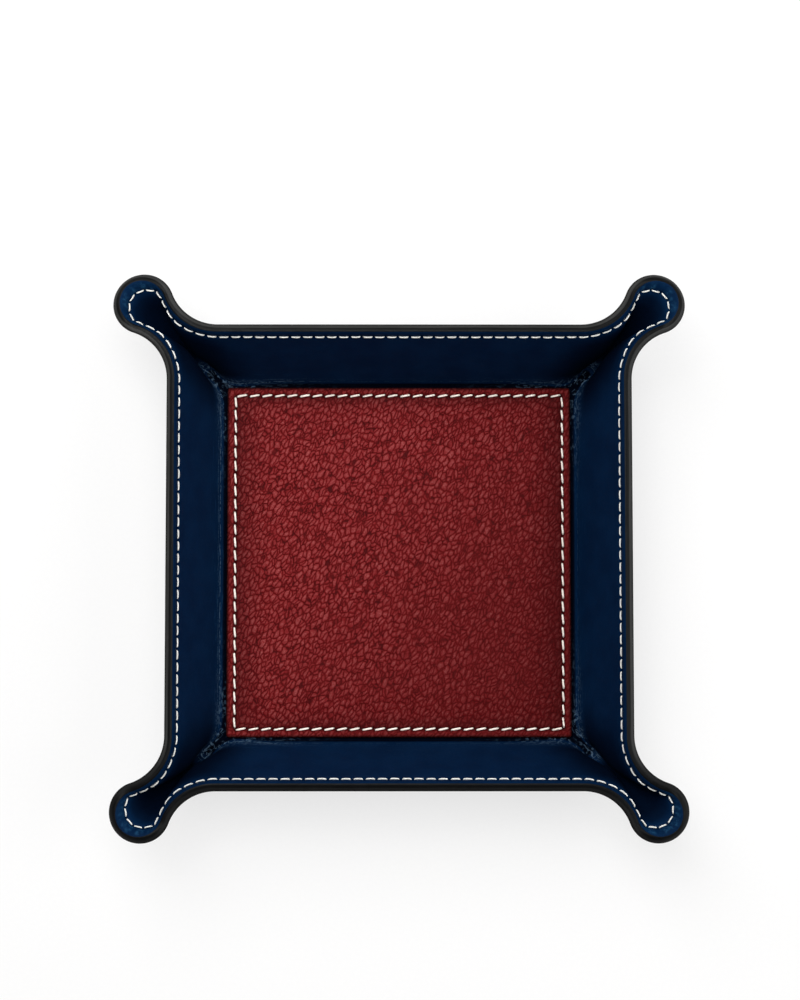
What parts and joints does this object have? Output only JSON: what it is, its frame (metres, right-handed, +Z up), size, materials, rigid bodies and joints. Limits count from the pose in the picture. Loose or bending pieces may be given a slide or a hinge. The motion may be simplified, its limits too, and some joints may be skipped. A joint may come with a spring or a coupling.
{
  "type": "valet tray",
  "caption": "Square leather catch-all tray with leaning stitched walls, pinched open corner ears and a padded panel on its floor.",
  "frame": {"origin": "middle of the underside, on the surface the tray rests on", "axes": "+Z up out of the tray, +X and +Y along its straight walls; with the tray in front of a viewer, +X is right and +Y is back"},
  "size_m": [0.1922, 0.19, 0.0377],
  "materials": {
    "navy_leather": "smooth navy leather, satin",
    "navy_lining": "smooth navy leather, satin",
    "edge_paint": "charcoal edge paint, low sheen",
    "cream_thread": "waxed cream thread",
    "red_leather": "pebbled red leather, satin",
    "fibre_board": "raw grey board",
    "felt_pad": "felt",
    "bonded_fibre": "raw bonded leather fibre"
  },
  "bodies": {
    "root": {"outer_leather": "navy_leather", "lining_leather": "navy_lining", "rim_edge_finish": "edge_paint", "rim_thread_inside": "cream_thread", "rim_thread_outside": "cream_thread", "base_board": "fibre_board", "base_panel_leather": "red_leather", "base_panel_pad": "felt_pad", "base_panel_thread": "cream_thread", "wall_stiffener_right": "bonded_fibre", "wall_stiffener_back": "bonded_fibre", "wall_stiffener_left": "bonded_fibre", "wall_stiffener_front": "bonded_fibre"}
  },
  "joints": []
}
